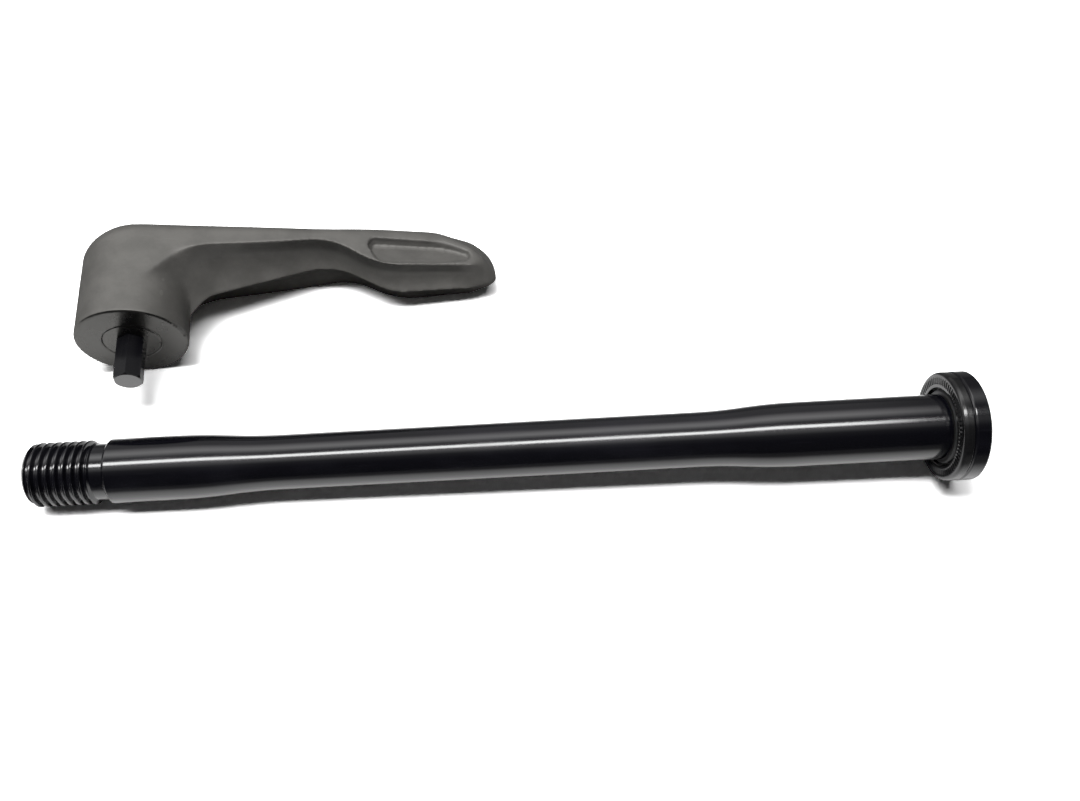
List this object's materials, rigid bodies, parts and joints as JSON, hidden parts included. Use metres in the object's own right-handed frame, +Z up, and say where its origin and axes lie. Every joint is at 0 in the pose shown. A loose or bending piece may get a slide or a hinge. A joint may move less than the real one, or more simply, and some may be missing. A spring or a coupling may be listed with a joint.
{
  "type": "bicycle through axle with plug-in lever",
  "caption": "Black bicycle through axle with a waisted shaft, threaded end and captive serrated washer, lying beside the plug-in hexagon lever that turns it.",
  "frame": {"origin": "on the axle's axis, at the washer face that clamps the dropout", "axes": "+X along the axle towards its head, +Y across the floor from the axle to the lever, +Z up"},
  "size_m": [0.173, 0.0604, 0.0213],
  "materials": {
    "axle_black": "gloss black anodised",
    "washer_black": "black plated",
    "ring_rubber": "matt black",
    "lever_grey": "satin dark grey anodised",
    "insert_grey": "satin dark grey",
    "pin_black": "gloss black"
  },
  "bodies": {
    "axle_and_lever": {"axle": "axle_black", "retaining_ring": "ring_rubber", "lever": "lever_grey", "pin_insert": "insert_grey", "hex_pin": "pin_black"},
    "washer": {"serrated_washer": "washer_black"}
  },
  "joints": [
    {"name": "washer_spin", "type": "hinge", "parent": "axle_and_lever", "child": "washer", "pos_m": [0, 0, 0], "axis": [0.9997, 0, 0.0242], "continuous": true}
  ]
}
